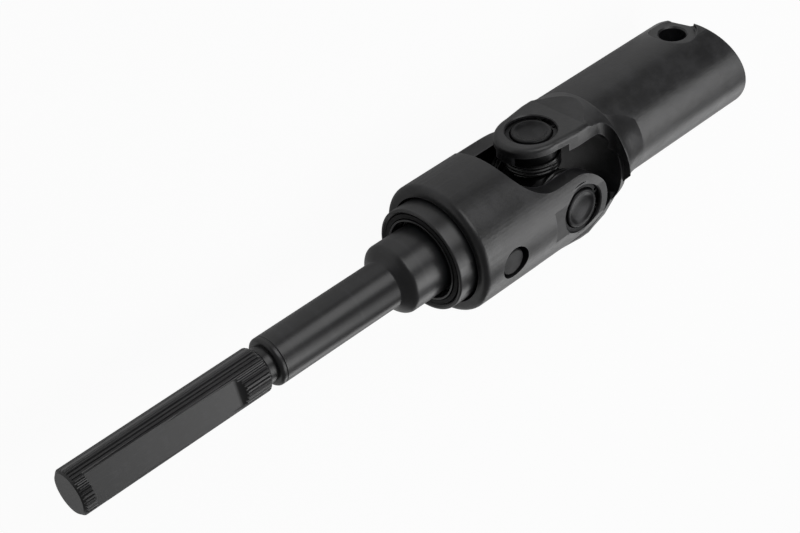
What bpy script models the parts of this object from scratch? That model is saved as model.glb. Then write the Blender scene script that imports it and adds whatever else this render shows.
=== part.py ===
"""Steering shaft: serrated shaft, rubber-damped coupling, universal joint and clamp hub.

The shaft's axis is +X, from the tip of the serrated end towards the clamp hub. The joint pins
that the hub carries lie along Y, and those that the cup carries lie along Z. The origin is the
centre of the shaft's end face. Sizes are in metres.
"""
import math

import bmesh
import bpy
from mathutils import Matrix, Vector

MM = 0.001
FIT = 0.3 * MM              # gap between pieces that seat on each other

# Serrated end of the shaft
SERRATION_RADIUS = 7.0 * MM
TOOTH_DEPTH = 0.5 * MM
TOOTH_COUNT = 36
SERRATION_LENGTH = 64.3 * MM
TIP_CHAMFER = 0.9 * MM
TIP_BAND = 4.0 * MM         # full teeth left in front of the milled flat
FLAT_LENGTH = 51.5 * MM
FLAT_HEIGHT_TIP = 4.1 * MM  # flat to axis near the tip, where it is cut deepest
FLAT_HEIGHT_END = 5.2 * MM
FLAT_TURN = -12.0           # degrees from +Z about the shaft
CUTTER_RADIUS = 3.0 * MM    # run-out of the milling cutter

# Plain part of the shaft
NECK_RADIUS = 5.7 * MM
NECK_WIDTH = 2.3 * MM
SHOULDER_ROUND = 1.2 * MM
SHAFT_RADIUS = 7.55 * MM
RING_GROOVE = 0.2 * MM
COLLAR_START = 111.5 * MM
COLLAR_ROUND = 4.2 * MM     # length of the forged shoulder in front of the collar
COLLAR_RADIUS = 11.2 * MM
HEAD_SET_BACK = 4.6 * MM    # head behind the mouth of the coupling
HEAD_RADIUS = 12.3 * MM     # seat of the inner sleeve
HEAD_CHAMFER = 1.0 * MM

# Rubber coupling
SLEEVE_START = 126.9 * MM
SLEEVE_LENGTH = 25.1 * MM
INNER_SLEEVE_WALL = 0.7 * MM
RUBBER_WALL = 1.3 * MM
RUBBER_SET_BACK = 0.4 * MM
OUTER_SLEEVE_WALL = 1.5 * MM
SLEEVE_BEVEL = 0.6 * MM
PIN_RADIUS = 4.4 * MM
PIN_X = 145.4 * MM
PIN_TURN = 6.0              # degrees from +Z about the shaft
PIN_SINK = 0.5 * MM         # pin ends below the skin of the cup
PIN_PLAY = 0.95 * MM        # radial play of the limit pin in the cup's hole
PIN_SHIFT = 0.35 * MM       # hole lies this much behind the pin

# Cup yoke
CUP_WALL = 4.0 * MM         # round the sleeve
CUP_START = 133.15 * MM
CUP_LIP = 1.1 * MM
MOUTH_STEP = 0.5 * MM
MOUTH_DEPTH = 2.0 * MM
CUP_BORE = 15.1 * MM        # bore behind the sleeve's seat
CUP_INNER = 14.9 * MM       # faced inner side of each ear, from the axis
CUP_FACING = 12.4 * MM      # radius of that facing about the pins
CUP_EAR_HALF = 10.3 * MM
SADDLE_X = 153.9 * MM       # deepest point of the saddle between the cup's ears
SADDLE_ROUND = 13.9 * MM

# Universal joint, heights measured from its centre
JOINT_X = 176.06 * MM
EAR_BORE = 8.0 * MM
CAP_WALL = 0.9 * MM
CAP_FLOOR = 1.2 * MM
CAP_OPEN = 9.6 * MM         # open end of a bearing cap
CAP_SEAT = 17.1 * MM        # shoulder that the snap ring bears on
CAP_BOSS = 2.2 * MM
CAP_DISH = 0.5 * MM
TRUNNION_RADIUS = 4.6 * MM
NEEDLE_INSET = 0.6 * MM
NEEDLE_STEPS = 2            # facets on each side of a needle
PAD_THICK = 0.8 * MM
PAD_RADIUS = 5.6 * MM
CROSS_ARM_RADIUS = 6.6 * MM
CROSS_CORE = 7.6 * MM
CORE_HALF = 6.2 * MM
SEAL_WALL = 0.8 * MM
SEAL_START = 8.3 * MM
SEAL_SKIRT = 2.8 * MM       # length of seal over the bearing cap
RING_THICK = 1.0 * MM
RING_DEPTH = 0.7 * MM       # groove for the snap ring, beyond the ear's bore
RING_WIDTH = 1.8 * MM
RING_GAP = 34.0             # degrees left open between the ring's ends
RING_HOLE = 0.5 * MM
RING_HOLE_TURN = 8.0        # degrees from the ring's end to its pliers hole

# Hub yoke
FORK_RADIUS_TIP = 22.2 * MM
FORK_RADIUS_RIM = 21.0 * MM
FORK_EAR_HALF = 11.9 * MM
FORK_INNER = 14.9 * MM      # inner face of each ear, from the axis
FORK_FLOOR = 20.1 * MM      # floor of the fork, from the joint's centre
FORK_CORNER = 5.0 * MM
FORK_RIM = 1.5 * MM         # rim behind the floor
RIM_LIP = 0.8 * MM
FLARE_ROUND = 3.6 * MM
BACK_SLOPE = 1.7            # fall of the rim's back face for each unit along the axis
TUBE_RADIUS = 17.84 * MM
TUBE_DROP = 5.78 * MM       # centre of the hub below the joint's axis
TUBE_ROUND = 2.0 * MM
HUB_LENGTH = 65.54 * MM     # from the rim to the slanted end face, along the axis
END_SLOPE_Y = -0.229
END_SLOPE_Z = 0.247
HUB_BORE = 7.2 * MM
BOLT_SET_BACK = 12.2 * MM   # bolt hole in front of the end face
BOLT_DROP = 6.6 * MM        # bolt hole below the joint's axis
BOLT_HOLE = 4.45 * MM
SPOT_RADIUS = 7.9 * MM
SPOT_DEPTH = 1.9 * MM       # spot face below the hub's skin
SLIT_WIDTH = 2.6 * MM
SLIT_LENGTH = 30.0 * MM
RELIEF_HEIGHT = 16.3 * MM   # slanted relief beside the rim, from the axis
RELIEF_TURN = 23.0          # degrees from +Z about the axis
RELIEF_SLANT = 12.0         # degrees

LARGE_COUNT = 56            # facets on the large diameters
MEDIUM_COUNT = 32
SMALL_COUNT = 20

# Sizes that follow from the ones above
SLEEVE_END = SLEEVE_START + SLEEVE_LENGTH
HEAD_START = SLEEVE_START + HEAD_SET_BACK
INNER_SLEEVE_BORE = HEAD_RADIUS + FIT
RUBBER_BORE = INNER_SLEEVE_BORE + INNER_SLEEVE_WALL + FIT
OUTER_SLEEVE_BORE = RUBBER_BORE + RUBBER_WALL + FIT
OUTER_SLEEVE_RADIUS = OUTER_SLEEVE_BORE + OUTER_SLEEVE_WALL
CUP_SEAT = OUTER_SLEEVE_RADIUS + FIT
CUP_RADIUS = CUP_SEAT + CUP_WALL
CAP_RADIUS = EAR_BORE - FIT
CAP_BORE = CAP_RADIUS - CAP_WALL
ARM_LENGTH = CAP_OPEN - FIT
PAD_END = CAP_SEAT - CAP_FLOOR - FIT
TRUNNION_END = PAD_END - PAD_THICK - FIT
RING_OUTER = EAR_BORE + RING_DEPTH - FIT
RING_INNER = RING_OUTER - RING_WIDTH
RING_START = CAP_SEAT + FIT
RIM_X = JOINT_X + FORK_FLOOR + FORK_RIM
HUB_END_X = RIM_X + HUB_LENGTH
BOLT_X = HUB_END_X - BOLT_SET_BACK


def clear_scene():
    for item in list(bpy.data.objects):
        bpy.data.objects.remove(item, do_unlink=True)


def make_finish(name, colour, roughness, metallic):
    finish = bpy.data.materials.new(name)
    finish.use_nodes = True
    shader = finish.node_tree.nodes["Principled BSDF"]
    shader.inputs["Base Color"].default_value = (*colour, 1.0)
    shader.inputs["Roughness"].default_value = roughness
    shader.inputs["Metallic"].default_value = metallic
    return finish


COATED = ((0.028, 0.028, 0.031), 0.42, 0.5)
BLACK_STEEL = ((0.018, 0.018, 0.02), 0.3, 0.6)
BRIGHT_STEEL = ((0.45, 0.45, 0.46), 0.25, 1.0)
RUBBER = ((0.012, 0.012, 0.013), 0.65, 0.0)
PLASTIC = ((0.02, 0.02, 0.022), 0.4, 0.0)


def link_mesh(name, mesh, look, parent):
    """Put a mesh in the scene as a named object with its own material."""
    thing = bpy.data.objects.new(name, mesh)
    bpy.context.scene.collection.objects.link(thing)
    mesh.materials.clear()
    mesh.materials.append(make_finish(name + "_finish", *look))
    thing.parent = parent
    return thing


def add_object(name, bm, look=COATED, parent=None):
    bmesh.ops.recalc_face_normals(bm, faces=bm.faces)
    mesh = bpy.data.meshes.new(name)
    bm.to_mesh(mesh)
    bm.free()
    mesh.shade_smooth()
    mesh.set_sharp_from_angle(angle=math.radians(30.0))
    return link_mesh(name, mesh, look, parent)


def add_empty(name, place=(0.0, 0.0, 0.0)):
    empty = bpy.data.objects.new(name, None)
    empty.location = place
    bpy.context.scene.collection.objects.link(empty)
    return empty


def turned(profile, facets):
    """A solid turned about X from a closed outline of (x, radius) points."""
    bm = bmesh.new()
    points = [bm.verts.new((x, 0.0, radius)) for x, radius in profile]
    edges = []
    for first, second in zip(points, points[1:] + points[:1]):
        if first.co.z > 1e-7 or second.co.z > 1e-7:
            edges.append(bm.edges.new((first, second)))
    bmesh.ops.spin(bm, geom=points + edges, cent=(0, 0, 0), axis=(1, 0, 0),
                   angle=2 * math.pi, steps=facets, use_merge=True)
    bmesh.ops.remove_doubles(bm, verts=bm.verts, dist=1e-6)
    bmesh.ops.recalc_face_normals(bm, faces=bm.faces)
    return bm


def prism(outline, depth, plane="xz"):
    """A closed outline in a plane through the axis, extruded evenly to both sides of it."""
    bm = bmesh.new()
    half = depth / 2
    if plane == "xz":
        corners = [bm.verts.new((a, -half, b)) for a, b in outline]
        way = (0.0, depth, 0.0)
    elif plane == "xy":
        corners = [bm.verts.new((a, b, -half)) for a, b in outline]
        way = (0.0, 0.0, depth)
    else:
        corners = [bm.verts.new((-half, a, b)) for a, b in outline]
        way = (depth, 0.0, 0.0)
    face = bm.faces.new(corners)
    grown = bmesh.ops.extrude_face_region(bm, geom=[face])
    moved = [item for item in grown["geom"] if isinstance(item, bmesh.types.BMVert)]
    bmesh.ops.translate(bm, verts=moved, vec=way)
    bmesh.ops.recalc_face_normals(bm, faces=bm.faces)
    return bm


def arc(centre, radius, first, last, steps):
    """Points on an arc in a plane, angles in degrees."""
    points = []
    for step in range(steps + 1):
        angle = math.radians(first + (last - first) * step / steps)
        points.append((centre[0] + radius * math.cos(angle), centre[1] + radius * math.sin(angle)))
    return points


def mirrored(half):
    """Close a half outline with its own reflection in the axis."""
    return half + [(a, -b) for a, b in reversed(half)]


def rod(radius, length, facets):
    """A plain cylinder along X, centred on the origin."""
    half = length / 2
    return turned([(-half, 0.0), (-half, radius), (half, radius), (half, 0.0)], facets)


def tube(bore, radius, start, end, facets):
    return turned([(start, bore), (start, radius), (end, radius), (end, bore)], facets)


def cutter(name, bm, parent=None):
    """A guide body for a Boolean, kept out of the finished part."""
    tool = add_object(name, bm, parent=parent)
    tool.hide_render = True
    tool.display_type = "WIRE"
    return tool


def combine(target, tool, operation="DIFFERENCE"):
    change = target.modifiers.new(tool.name, "BOOLEAN")
    change.operation = operation
    change.solver = "EXACT"
    change.object = tool


def settle(thing):
    """Apply the modifiers, so that the finished mesh can be shared by copies."""
    bpy.context.view_layer.update()
    graph = bpy.context.evaluated_depsgraph_get()
    mesh = bpy.data.meshes.new_from_object(thing.evaluated_get(graph))
    thing.modifiers.clear()
    thing.data = mesh
    return mesh


def outward(direction):
    """Turn local +X to a pin's direction, with local +Z towards the hub."""
    way = Vector(direction)
    hub_side = Vector((1.0, 0.0, 0.0))
    return Matrix((way, hub_side.cross(way), hub_side)).transposed()


def across_shaft(thing):
    """Lay a piece that was made along X across the shaft, like the limit pin."""
    turn = Matrix.Rotation(math.radians(PIN_TURN), 3, "X")
    thing.rotation_euler = (turn @ outward((0.0, 0.0, 1.0))).to_euler()


# Shaft

def tooth_ring(bm, x, envelope):
    """One ring of the serration's outline, held inside an envelope."""
    count = TOOTH_COUNT * 4
    ring = []
    for index in range(count):
        full = SERRATION_RADIUS - (TOOTH_DEPTH if index % 4 >= 2 else 0.0)
        radius = min(full, envelope)
        angle = 2 * math.pi * (index + 0.5) / count
        ring.append(bm.verts.new((x, radius * math.cos(angle), radius * math.sin(angle))))
    return ring


def serrated_bar():
    """The toothed bar, grown ring by ring so that both its ends are chamfered."""
    root = SERRATION_RADIUS - TOOTH_DEPTH
    bm = bmesh.new()
    rings = [tooth_ring(bm, 0.0, SERRATION_RADIUS - TIP_CHAMFER)]
    rings.append(tooth_ring(bm, TIP_CHAMFER, SERRATION_RADIUS))
    rings.append(tooth_ring(bm, SERRATION_LENGTH - TOOTH_DEPTH, SERRATION_RADIUS))
    rings.append(tooth_ring(bm, SERRATION_LENGTH, root - 0.1 * TOOTH_DEPTH))
    for first, second in zip(rings, rings[1:]):
        for index in range(len(first)):
            after = (index + 1) % len(first)
            bm.faces.new((first[index], first[after], second[after], second[index]))
    bm.faces.new(rings[0])
    bm.faces.new(rings[-1])
    return bm


def flat_cutter():
    """Side view of the milled flat: a wall near the tip, a slanted floor and a round run-out."""
    top = SERRATION_RADIUS + CUTTER_RADIUS
    end = TIP_BAND + FLAT_LENGTH
    outline = [(TIP_BAND, top), (TIP_BAND, FLAT_HEIGHT_TIP)]
    run_out = (end - CUTTER_RADIUS, FLAT_HEIGHT_END + CUTTER_RADIUS)
    outline += arc(run_out, CUTTER_RADIUS, 270, 340, 7)
    outline.append((end, top))
    return prism(outline, 4 * SERRATION_RADIUS)


def collar_profile():
    """The forged shoulder: hollow where it leaves the shaft, round where it meets the collar."""
    rise = COLLAR_RADIUS - SHAFT_RADIUS
    points = []
    for step in range(7):
        share = step / 6
        bulge = 0.5 - 0.5 * math.cos(math.pi * share ** 0.8)
        points.append((COLLAR_START + share * COLLAR_ROUND, SHAFT_RADIUS + bulge * rise))
    return points


def plain_shaft():
    """Turned outline from the neck to the head inside the coupling."""
    start = SERRATION_LENGTH - NECK_WIDTH
    neck_end = SERRATION_LENGTH + NECK_WIDTH
    ring_x = neck_end + 1.6 * SHOULDER_ROUND
    outline = [(start, 0.0), (start, NECK_RADIUS)]
    round_centre = (neck_end + SHOULDER_ROUND, SHAFT_RADIUS - SHOULDER_ROUND)
    outline.append((neck_end, NECK_RADIUS))
    outline += arc(round_centre, SHOULDER_ROUND, 180, 90, 4)
    outline += [(ring_x - RING_GROOVE, SHAFT_RADIUS), (ring_x, SHAFT_RADIUS - RING_GROOVE)]
    outline.append((ring_x + RING_GROOVE, SHAFT_RADIUS))
    outline += collar_profile()
    outline += [(HEAD_START, COLLAR_RADIUS), (HEAD_START, HEAD_RADIUS)]
    outline += [(SLEEVE_END - HEAD_CHAMFER, HEAD_RADIUS), (SLEEVE_END, HEAD_RADIUS - HEAD_CHAMFER)]
    outline.append((SLEEVE_END, 0.0))
    return turned(outline, MEDIUM_COUNT)


def limit_pin(reach):
    """The cross pin, with its ends chamfered."""
    edge = 0.4 * MM
    half = [(-reach, 0.0), (-reach, PIN_RADIUS - edge), (edge - reach, PIN_RADIUS)]
    half += [(reach - edge, PIN_RADIUS), (reach, PIN_RADIUS - edge), (reach, 0.0)]
    return turned(half, SMALL_COUNT)


def open_ring(inner, outer, thick, gap, facets):
    """A flat ring about X with a gap at local +Z."""
    first = 90 + gap / 2
    last = 450 - gap / 2
    outline = arc((0.0, 0.0), outer, first, last, facets)
    outline += arc((0.0, 0.0), inner, last, first, facets)
    return prism(outline, thick, "yz")


def make_shaft(axis):
    shaft = add_object("shaft", serrated_bar(), COATED, axis)
    flat = cutter("flat_cut", flat_cutter(), axis)
    flat.rotation_euler.x = math.radians(FLAT_TURN)
    combine(shaft, flat)
    combine(shaft, cutter("plain_shaft", plain_shaft(), axis), "UNION")
    drill = cutter("pin_drill", rod(PIN_RADIUS + FIT, 4 * HEAD_RADIUS, SMALL_COUNT), axis)
    drill.location.x = PIN_X
    across_shaft(drill)
    combine(shaft, drill)
    sleeve = tube(INNER_SLEEVE_BORE, INNER_SLEEVE_BORE + INNER_SLEEVE_WALL,
                  SLEEVE_START, SLEEVE_END, LARGE_COUNT)
    combine(add_object("inner_sleeve", sleeve, COATED, axis), drill)
    reach = math.sqrt((CUP_RADIUS - PIN_SINK) ** 2 - PIN_RADIUS ** 2)
    pin = add_object("limit_pin", limit_pin(reach), BLACK_STEEL, axis)
    pin.location.x = PIN_X
    across_shaft(pin)


# Cup yoke and its share of the coupling

def cup_side():
    """Outline of the cup seen along its pins: body, saddle and rounded ears."""
    start = CUP_START - CUP_LIP
    wide = 1.3 * CUP_RADIUS
    centre = (SADDLE_X + SADDLE_ROUND, CUP_EAR_HALF + SADDLE_ROUND)
    half = [(start, wide), (SADDLE_X, wide)]
    half += arc(centre, SADDLE_ROUND, 180, 270, 12)
    half += arc((JOINT_X, 0.0), CUP_EAR_HALF, 90, 0, 12)[:-1]
    return half + [(JOINT_X + CUP_EAR_HALF, 0.0)] + [(a, -b) for a, b in reversed(half)]


def cup_blank():
    """Turned body of the cup, with its lip, mouth, sleeve seat and bore."""
    mouth = CUP_SEAT + MOUTH_STEP
    seat_end = SLEEVE_END + FIT
    end = JOINT_X + 2 * CUP_EAR_HALF
    outline = [(CUP_START, mouth), (CUP_START, CUP_RADIUS - 2.2 * CUP_LIP)]
    outline += [(CUP_START + 0.35 * CUP_LIP, CUP_RADIUS - 0.9 * CUP_LIP)]
    outline += [(CUP_START + CUP_LIP, CUP_RADIUS - 0.15 * CUP_LIP)]
    outline += [(CUP_START + 1.8 * CUP_LIP, CUP_RADIUS), (end, CUP_RADIUS), (end, CUP_BORE)]
    outline += [(seat_end, CUP_BORE), (seat_end, CUP_SEAT)]
    outline += [(CUP_START + MOUTH_DEPTH + MOUTH_STEP, CUP_SEAT), (CUP_START + MOUTH_DEPTH, mouth)]
    return turned(outline, LARGE_COUNT)


def ear_drill():
    """Bore through a pair of ears, with a snap ring groove in each."""
    far = 1.3 * FORK_RADIUS_TIP
    low = CAP_SEAT
    high = RING_START + RING_THICK + FIT
    wide = EAR_BORE + RING_DEPTH
    half = [(low, EAR_BORE), (low, wide), (high, wide), (high, EAR_BORE), (far, EAR_BORE), (far, 0.0)]
    return turned([(-a, b) for a, b in reversed(half)] + half, MEDIUM_COUNT)


def make_cup(joint):
    axis = add_empty("cup_axis")
    cup = add_object("cup_yoke", cup_blank(), COATED, axis)
    combine(cup, cutter("cup_outline", prism(cup_side(), 4 * CUP_RADIUS, "xy"), axis), "INTERSECT")
    bore = cutter("cup_ear_bore", ear_drill(), joint)
    bore.rotation_euler = outward((0.0, 0.0, 1.0)).to_euler()
    combine(cup, bore)
    facing = cutter("cup_ear_facing", rod(CUP_FACING, 2 * CUP_INNER, LARGE_COUNT), joint)
    facing.rotation_euler = outward((0.0, 0.0, 1.0)).to_euler()
    combine(cup, facing)
    window = cutter("pin_window", rod(PIN_RADIUS + PIN_PLAY, 4 * CUP_RADIUS, SMALL_COUNT), axis)
    window.location.x = PIN_X + PIN_SHIFT
    across_shaft(window)
    combine(cup, window)
    outer = turned([(SLEEVE_START, OUTER_SLEEVE_BORE),
                    (SLEEVE_START, OUTER_SLEEVE_RADIUS - SLEEVE_BEVEL),
                    (SLEEVE_START + SLEEVE_BEVEL, OUTER_SLEEVE_RADIUS),
                    (SLEEVE_END, OUTER_SLEEVE_RADIUS), (SLEEVE_END, OUTER_SLEEVE_BORE)], LARGE_COUNT)
    combine(add_object("outer_sleeve", outer, COATED, axis), window)
    bush = tube(RUBBER_BORE, RUBBER_BORE + RUBBER_WALL, SLEEVE_START + RUBBER_SET_BACK,
                SLEEVE_END - RUBBER_SET_BACK, LARGE_COUNT)
    combine(add_object("rubber_bush", bush, RUBBER, axis), window)


# Universal joint

def bearing_cap():
    """A drawn cap: open towards the joint, with a dished boss outside."""
    boss = RING_INNER - FIT
    top = CAP_SEAT + CAP_BOSS
    floor = CAP_SEAT - CAP_FLOOR
    edge = 0.4 * MM
    outline = [(floor, 0.0), (floor, CAP_BORE), (CAP_OPEN, CAP_BORE)]
    outline += [(CAP_OPEN, CAP_RADIUS - edge), (CAP_OPEN + edge, CAP_RADIUS)]
    outline += [(CAP_SEAT, CAP_RADIUS), (CAP_SEAT, boss), (top - edge, boss), (top, boss - edge)]
    outline += [(top, boss - 3 * edge), (top - CAP_DISH, boss - 5 * edge), (top - CAP_DISH, 0.0)]
    return turned(outline, MEDIUM_COUNT)


def needle_set():
    """A full ring of needle rollers, fused side by side."""
    size = CAP_BORE - FIT - TRUNNION_RADIUS - FIT
    pitch = TRUNNION_RADIUS + FIT + size / 2
    count = int(2 * math.pi * pitch / size)
    steps = NEEDLE_STEPS
    rings = {1: [], -1: []}
    for side in (1, -1):
        for index in range(count * steps):
            lobe = 0.5 - 0.5 * math.cos(2 * math.pi * (index % steps) / steps)
            radius = pitch + side * size * (0.32 + 0.18 * lobe)
            angle = 2 * math.pi * index / (count * steps)
            rings[side].append((radius * math.cos(angle), radius * math.sin(angle)))
    low = CAP_OPEN + NEEDLE_INSET
    high = TRUNNION_END - NEEDLE_INSET
    bm = bmesh.new()
    loops = []
    for height, side in ((low, 1), (high, 1), (high, -1), (low, -1)):
        loops.append([bm.verts.new((height, y, z)) for y, z in rings[side]])
    for first, second in zip(loops, loops[1:] + loops[:1]):
        for index in range(len(first)):
            after = (index + 1) % len(first)
            bm.faces.new((first[index], first[after], second[after], second[index]))
    return bm


def snap_ring():
    """Internal snap ring with a pliers hole near each end."""
    ring = add_object("ring_form", open_ring(RING_INNER, RING_OUTER, RING_THICK, RING_GAP, SMALL_COUNT))
    middle = (RING_INNER + RING_OUTER) / 2
    punches = []
    for side in (1, -1):
        turn = math.radians(90 + side * (RING_GAP / 2 + RING_HOLE_TURN))
        punch = cutter("pliers_hole_form", rod(RING_HOLE, 3 * RING_THICK, 10))
        punch.location = (0.0, middle * math.cos(turn), middle * math.sin(turn))
        combine(ring, punch)
        punches.append(punch)
    mesh = settle(ring)
    for item in [ring] + punches:
        bpy.data.objects.remove(item, do_unlink=True)
    return mesh


def cross_seal():
    """Seal that sits on the cross and laps over the open end of a bearing cap."""
    inner = CAP_RADIUS + FIT
    outer = inner + SEAL_WALL
    seat = CROSS_ARM_RADIUS + FIT
    step = ARM_LENGTH - FIT
    outline = [(SEAL_START, seat), (SEAL_START, SEAL_START - FIT - 0.1 * MM)]
    outline += [(outer + 2 * FIT, outer), (CAP_OPEN + SEAL_SKIRT, outer)]
    outline += [(CAP_OPEN + SEAL_SKIRT, inner), (step, inner), (step, seat)]
    return turned(outline, MEDIUM_COUNT)


def cross_arms():
    """A pair of arms with their trunnions, turned about one line."""
    edge = 0.5 * MM
    half = [(ARM_LENGTH, CROSS_ARM_RADIUS), (ARM_LENGTH, TRUNNION_RADIUS)]
    half += [(TRUNNION_END - edge, TRUNNION_RADIUS), (TRUNNION_END, TRUNNION_RADIUS - edge)]
    half.append((TRUNNION_END, 0.0))
    return turned([(-a, b) for a, b in reversed(half)] + half, SMALL_COUNT)


def cross_core():
    """Body of the cross between its arms, thicker in the middle."""
    thick = CORE_HALF
    outline = [(-thick, 0.0), (-thick, 0.62 * CROSS_CORE), (-0.6 * thick, CROSS_CORE)]
    outline += [(0.6 * thick, CROSS_CORE), (thick, 0.62 * CROSS_CORE), (thick, 0.0)]
    return turned(outline, SMALL_COUNT)


PIN_WAYS = (("hub", "1", (0.0, 1.0, 0.0)), ("hub", "2", (0.0, -1.0, 0.0)),
            ("cup", "1", (0.0, 0.0, 1.0)), ("cup", "2", (0.0, 0.0, -1.0)))


def make_joint(joint):
    cross = add_object("cross", cross_core(), BLACK_STEEL, joint)
    for name, way in (("hub_pins", (0.0, 1.0, 0.0)), ("cup_pins", (0.0, 0.0, 1.0))):
        arms = cutter(name, cross_arms(), joint)
        arms.rotation_euler = outward(way).to_euler()
        combine(cross, arms, "UNION")
    ring_mesh = snap_ring()
    pad = rod(PAD_RADIUS, PAD_THICK, SMALL_COUNT)
    bmesh.ops.translate(pad, verts=pad.verts, vec=(PAD_END - PAD_THICK / 2, 0.0, 0.0))
    forms = (("cap", bearing_cap(), BLACK_STEEL), ("needles", needle_set(), BRIGHT_STEEL),
             ("seal", cross_seal(), RUBBER), ("thrust_pad", pad, PLASTIC))
    for kind, bm, look in forms:
        first = add_object(kind + "_form", bm, look)
        for owner, number, way in PIN_WAYS:
            copy = link_mesh(owner + "_" + kind + "_" + number, first.data.copy(), look, joint)
            copy.rotation_euler = outward(way).to_euler()
        bpy.data.objects.remove(first, do_unlink=True)
    for owner, number, way in PIN_WAYS:
        ring = link_mesh(owner + "_snap_ring_" + number, ring_mesh.copy(), BLACK_STEEL, joint)
        ring.location = Vector(way) * (RING_START + RING_THICK / 2)
        ring.rotation_euler = outward(way).to_euler()


# Hub yoke

def fork_side():
    """Outline of the fork seen along its pins: rounded ears that flare out to the rim."""
    centre = (FORK_FLOOR + FORK_RIM - RIM_LIP - FLARE_ROUND, FORK_EAR_HALF + FLARE_ROUND)
    wide = 1.2 * FORK_RADIUS_TIP
    end = FORK_FLOOR + 3 * FORK_CORNER
    half = arc((0.0, 0.0), FORK_EAR_HALF, 180, 90, 12)[1:]
    half += arc(centre, FLARE_ROUND, 270, 360, 8)
    half += [(centre[0] + FLARE_ROUND, wide), (end, wide)]
    return [(-FORK_EAR_HALF, 0.0)] + mirrored(half)


def fork_blank():
    """Turned blank of the fork, from the ear tips to the back of its rim."""
    tip = -1.1 * FORK_EAR_HALF
    rim = FORK_FLOOR + FORK_RIM
    inner = 0.5 * TUBE_RADIUS
    back = rim + (FORK_RADIUS_RIM - inner) / BACK_SLOPE
    outline = [(tip, 0.0), (tip, FORK_RADIUS_TIP), (rim, FORK_RADIUS_RIM), (back, inner), (back, 0.0)]
    return turned(outline, LARGE_COUNT)


def fork_slot():
    """Space between the ears, with a rounded corner at each side of its floor."""
    centre = (FORK_FLOOR - FORK_CORNER, FORK_INNER - FORK_CORNER)
    half = [(-2 * FORK_EAR_HALF, FORK_INNER)]
    half += arc(centre, FORK_CORNER, 90, 0, 6)
    return prism(mirrored(half), 4 * FORK_RADIUS_TIP, "xy")


def hub_tube():
    """The thick hub, turned about its own axis, longer than its slanted end."""
    start = RIM_X - 0.5 * FORK_RIM
    end = HUB_END_X + TUBE_RADIUS
    outline = [(start, 0.0), (start, TUBE_RADIUS - TUBE_ROUND), (start + TUBE_ROUND, TUBE_RADIUS)]
    outline += [(end, TUBE_RADIUS), (end, 0.0)]
    return turned(outline, LARGE_COUNT)


def end_cutter():
    """Everything beyond the slanted end face."""
    wide = 2 * TUBE_RADIUS
    bm = bmesh.new()
    near = []
    far = []
    for y, z in ((-wide, -wide), (wide, -wide), (wide, wide), (-wide, wide)):
        near.append(bm.verts.new((HUB_END_X + END_SLOPE_Y * y + END_SLOPE_Z * z, y, z)))
        far.append(bm.verts.new((HUB_END_X + 2 * wide, y, z)))
    bm.faces.new(near)
    bm.faces.new(far)
    for index in range(4):
        after = (index + 1) % 4
        bm.faces.new((near[index], near[after], far[after], far[index]))
    return bm


def box(low, high):
    bm = bmesh.new()
    bmesh.ops.create_cube(bm, size=1.0)
    size = Vector(high) - Vector(low)
    bmesh.ops.scale(bm, verts=bm.verts, vec=size)
    bmesh.ops.translate(bm, verts=bm.verts, vec=(Vector(high) + Vector(low)) / 2)
    return bm


def relief_cutter():
    """A slanted slab that clears the rim's corner beside the cup's ear."""
    wide = 2 * FORK_RADIUS_TIP
    slab = box((-0.3 * wide, -wide, 0.0), (wide, wide, wide))
    turn = Matrix.Rotation(math.radians(RELIEF_SLANT), 3, "Y")
    bmesh.ops.rotate(slab, verts=slab.verts, cent=(0, 0, 0), matrix=turn)
    bmesh.ops.translate(slab, verts=slab.verts, vec=(RIM_X, 0.0, RELIEF_HEIGHT))
    turn = Matrix.Rotation(math.radians(RELIEF_TURN), 3, "X")
    bmesh.ops.rotate(slab, verts=slab.verts, cent=(0, 0, 0), matrix=turn)
    return slab


def make_hub(joint):
    axis = add_empty("hub_axis")
    hub = add_object("hub_yoke", fork_blank(), COATED, joint)
    combine(hub, cutter("fork_outline", prism(fork_side(), 4 * FORK_RADIUS_TIP), joint), "INTERSECT")
    combine(hub, cutter("fork_slot", fork_slot(), joint))
    combine(hub, cutter("rim_relief", relief_cutter(), axis))
    body = cutter("hub_tube", hub_tube(), axis)
    body.location.z = -TUBE_DROP
    combine(hub, body, "UNION")
    combine(hub, cutter("slanted_end", end_cutter(), axis))
    ears = cutter("hub_ear_bore", ear_drill(), joint)
    ears.rotation_euler = outward((0.0, 1.0, 0.0)).to_euler()
    combine(hub, ears)
    bore = cutter("hub_bore", rod(HUB_BORE, 2 * (HUB_END_X - JOINT_X), MEDIUM_COUNT), axis)
    bore.location.x = HUB_END_X + CAP_RADIUS
    combine(hub, bore)
    bolt = cutter("bolt_hole", rod(BOLT_HOLE, 4 * TUBE_RADIUS, SMALL_COUNT), axis)
    bolt.location = (BOLT_X, 0.0, -BOLT_DROP)
    bolt.rotation_euler = outward((0.0, 1.0, 0.0)).to_euler()
    combine(hub, bolt)
    spot = cutter("bolt_seat", rod(SPOT_RADIUS, TUBE_RADIUS, MEDIUM_COUNT), axis)
    face = TUBE_RADIUS - SPOT_DEPTH
    spot.location = (BOLT_X, face + TUBE_RADIUS / 2, -BOLT_DROP)
    spot.rotation_euler = outward((0.0, 1.0, 0.0)).to_euler()
    combine(hub, spot)
    far = HUB_END_X + TUBE_RADIUS
    slit = box((HUB_END_X - SLIT_LENGTH, -SLIT_WIDTH / 2, -TUBE_DROP - 1.2 * TUBE_RADIUS),
               (far, SLIT_WIDTH / 2, -HUB_BORE / 2))
    combine(hub, cutter("clamp_slit", slit, axis))


def main():
    clear_scene()
    joint = add_empty("joint_centre", (JOINT_X, 0.0, 0.0))
    shaft_axis = add_empty("shaft_axis")
    make_hub(joint)
    make_joint(joint)
    make_cup(joint)
    make_shaft(shaft_axis)


main()
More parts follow.
